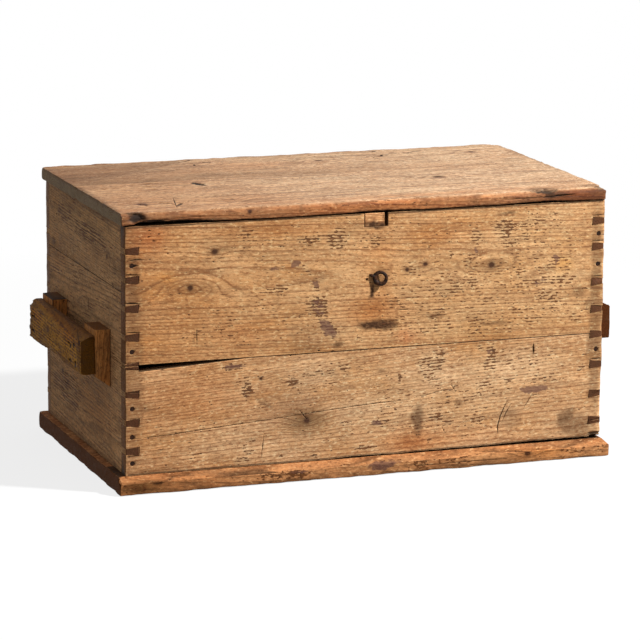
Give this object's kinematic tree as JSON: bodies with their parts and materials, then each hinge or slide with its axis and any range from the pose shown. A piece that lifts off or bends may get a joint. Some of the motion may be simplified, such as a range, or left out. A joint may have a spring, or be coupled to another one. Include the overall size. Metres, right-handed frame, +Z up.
{
  "type": "wooden trunk",
  "caption": "Old dovetailed pine trunk with projecting base boards, a hinged board lid, block-and-bar handles on the ends and a forged eye staple on the front.",
  "frame": {"origin": "middle of the footprint, on the floor", "axes": "+X towards the right-hand end seen from the front, -Y is the front, +Z up; the lid's hinge axis runs along X at the back"},
  "size_m": [1.122, 0.59, 0.55],
  "materials": {
    "pine_walls": "old bare pine, scrubbed, with paint left in the grain",
    "pine_ends": "old bare pine, greyed",
    "pine_base": "old bare pine, orange and worn",
    "pine_lid": "old bare pine, worn and dented",
    "pine_inside": "bare pine, little worn",
    "pine_handles": "bare pine, dark from hands",
    "wrought_iron": "forged, rusted brown",
    "nail_iron": "forged, rusted dark"
  },
  "bodies": {
    "chest": {"front_upper_board": "pine_walls", "front_lower_board": "pine_walls", "front_patch": "pine_walls", "back_upper_board": "pine_walls", "back_lower_board": "pine_walls", "left_side_upper_board": "pine_ends", "left_side_middle_board": "pine_ends", "left_side_lower_board": "pine_ends", "right_side_upper_board": "pine_ends", "right_side_middle_board": "pine_ends", "right_side_lower_board": "pine_ends", "base_front_board": "pine_base", "base_second_board": "pine_base", "base_third_board": "pine_base", "base_back_board": "pine_base", "left_handle_bar": "pine_handles", "left_handle_front_block": "pine_handles", "left_handle_back_block": "pine_handles", "right_handle_bar": "pine_handles", "right_handle_front_block": "pine_handles", "right_handle_back_block": "pine_handles", "left_hinge_back_leaf": "wrought_iron", "left_hinge_pin": "wrought_iron", "right_hinge_back_leaf": "wrought_iron", "right_hinge_pin": "wrought_iron", "eye_staple": "wrought_iron", "front_corner_nails": "nail_iron", "back_corner_nails": "nail_iron", "base_nails": "nail_iron", "handle_nails": "nail_iron", "back_leaf_nails": "nail_iron"},
    "lid": {"lid_front_board": "pine_lid", "lid_middle_board": "pine_lid", "lid_back_board": "pine_lid", "lid_left_batten": "pine_inside", "lid_right_batten": "pine_inside", "left_hinge_lid_leaf": "wrought_iron", "right_hinge_lid_leaf": "wrought_iron", "lid_leaf_nails": "nail_iron", "batten_nails": "nail_iron"}
  },
  "joints": [
    {"name": "lid_hinge", "type": "hinge", "parent": "chest", "child": "lid", "pos_m": [0, 0.2815, 0.5225], "axis": [-1, 0, 0], "range_deg": [0, 114]}
  ]
}
